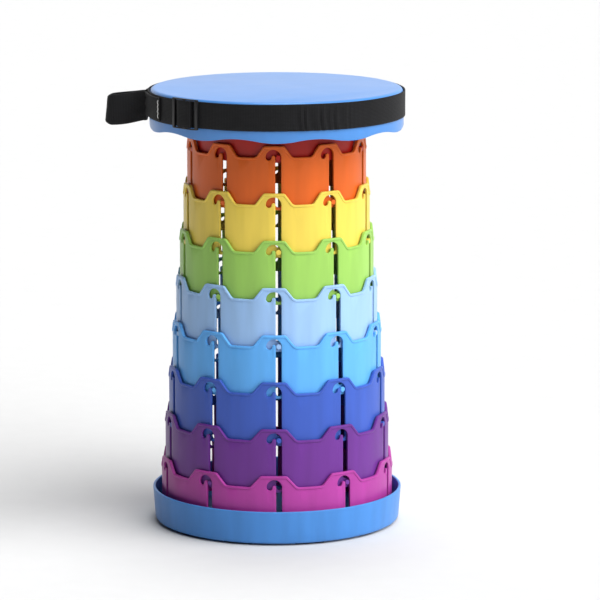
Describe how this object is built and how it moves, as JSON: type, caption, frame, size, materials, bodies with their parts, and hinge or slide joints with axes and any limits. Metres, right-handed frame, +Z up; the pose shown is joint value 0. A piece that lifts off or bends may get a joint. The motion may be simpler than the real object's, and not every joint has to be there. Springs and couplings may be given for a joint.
{
  "type": "telescopic stool",
  "caption": "Round folding stool of nested slotted rings between a foot tray and a flat seat with a webbing strap and grab loop.",
  "frame": {"origin": "on the stool's axis at floor level, under the middle of the pads", "axes": "+Z up along the stool's axis, -Y towards the front, the grab loop towards -X"},
  "size_m": [0.2983, 0.2554, 0.4379],
  "materials": {
    "ring_pink": "moulded polypropylene, satin",
    "ring_purple": "moulded polypropylene, satin",
    "ring_royal_blue": "moulded polypropylene, satin",
    "ring_sky_blue": "moulded polypropylene, satin",
    "ring_pale_blue": "moulded polypropylene, satin",
    "ring_green": "moulded polypropylene, satin",
    "ring_yellow": "moulded polypropylene, satin",
    "ring_orange": "moulded polypropylene, satin",
    "ring_dark_red": "moulded polypropylene, satin",
    "shell_blue": "moulded polypropylene, satin",
    "webbing": "woven black webbing",
    "slider_black": "moulded acetal, satin",
    "thread": "polyester thread",
    "pad_rubber": "matte rubber",
    "screw_steel": "zinc plated"
  },
  "bodies": {
    "base": {"base_tray": "shell_blue", "foot_pads": "pad_rubber", "ring_pink": "ring_pink"},
    "section_purple": {"ring_purple": "ring_purple"},
    "section_royal_blue": {"ring_royal_blue": "ring_royal_blue"},
    "section_sky_blue": {"ring_sky_blue": "ring_sky_blue"},
    "section_pale_blue": {"ring_pale_blue": "ring_pale_blue"},
    "section_green": {"ring_green": "ring_green"},
    "section_yellow": {"ring_yellow": "ring_yellow"},
    "section_orange": {"ring_orange": "ring_orange"},
    "seat": {"ring_dark_red": "ring_dark_red", "seat_lid": "shell_blue", "seat_screws": "screw_steel", "strap_band": "webbing", "grab_loop": "webbing", "loop_stitches": "thread"},
    "slider": {"strap_slider": "slider_black", "strap_fold": "webbing"}
  },
  "joints": [
    {"name": "purple_slide", "type": "slide", "parent": "base", "child": "section_purple", "axis": [0, 0, 1], "range_m": [-0.04575, 0]},
    {"name": "royal_blue_slide", "type": "slide", "parent": "section_purple", "child": "section_royal_blue", "axis": [0, 0, 1], "range_m": [-0.04605, 0]},
    {"name": "sky_blue_slide", "type": "slide", "parent": "section_royal_blue", "child": "section_sky_blue", "axis": [0, 0, 1], "range_m": [-0.04605, 0]},
    {"name": "pale_blue_slide", "type": "slide", "parent": "section_sky_blue", "child": "section_pale_blue", "axis": [0, 0, 1], "range_m": [-0.04605, 0]},
    {"name": "green_slide", "type": "slide", "parent": "section_pale_blue", "child": "section_green", "axis": [0, 0, 1], "range_m": [-0.04605, 0]},
    {"name": "yellow_slide", "type": "slide", "parent": "section_green", "child": "section_yellow", "axis": [0, 0, 1], "range_m": [-0.04605, 0]},
    {"name": "orange_slide", "type": "slide", "parent": "section_yellow", "child": "section_orange", "axis": [0, 0, 1], "range_m": [-0.04605, 0]},
    {"name": "seat_slide", "type": "slide", "parent": "section_orange", "child": "seat", "axis": [0, 0, 1], "range_m": [-0.04005, 0]},
    {"name": "slider_shift", "type": "hinge", "parent": "seat", "child": "slider", "pos_m": [0, 0, 0.42], "axis": [0, 0, 1], "range_deg": [-10, 40]}
  ]
}
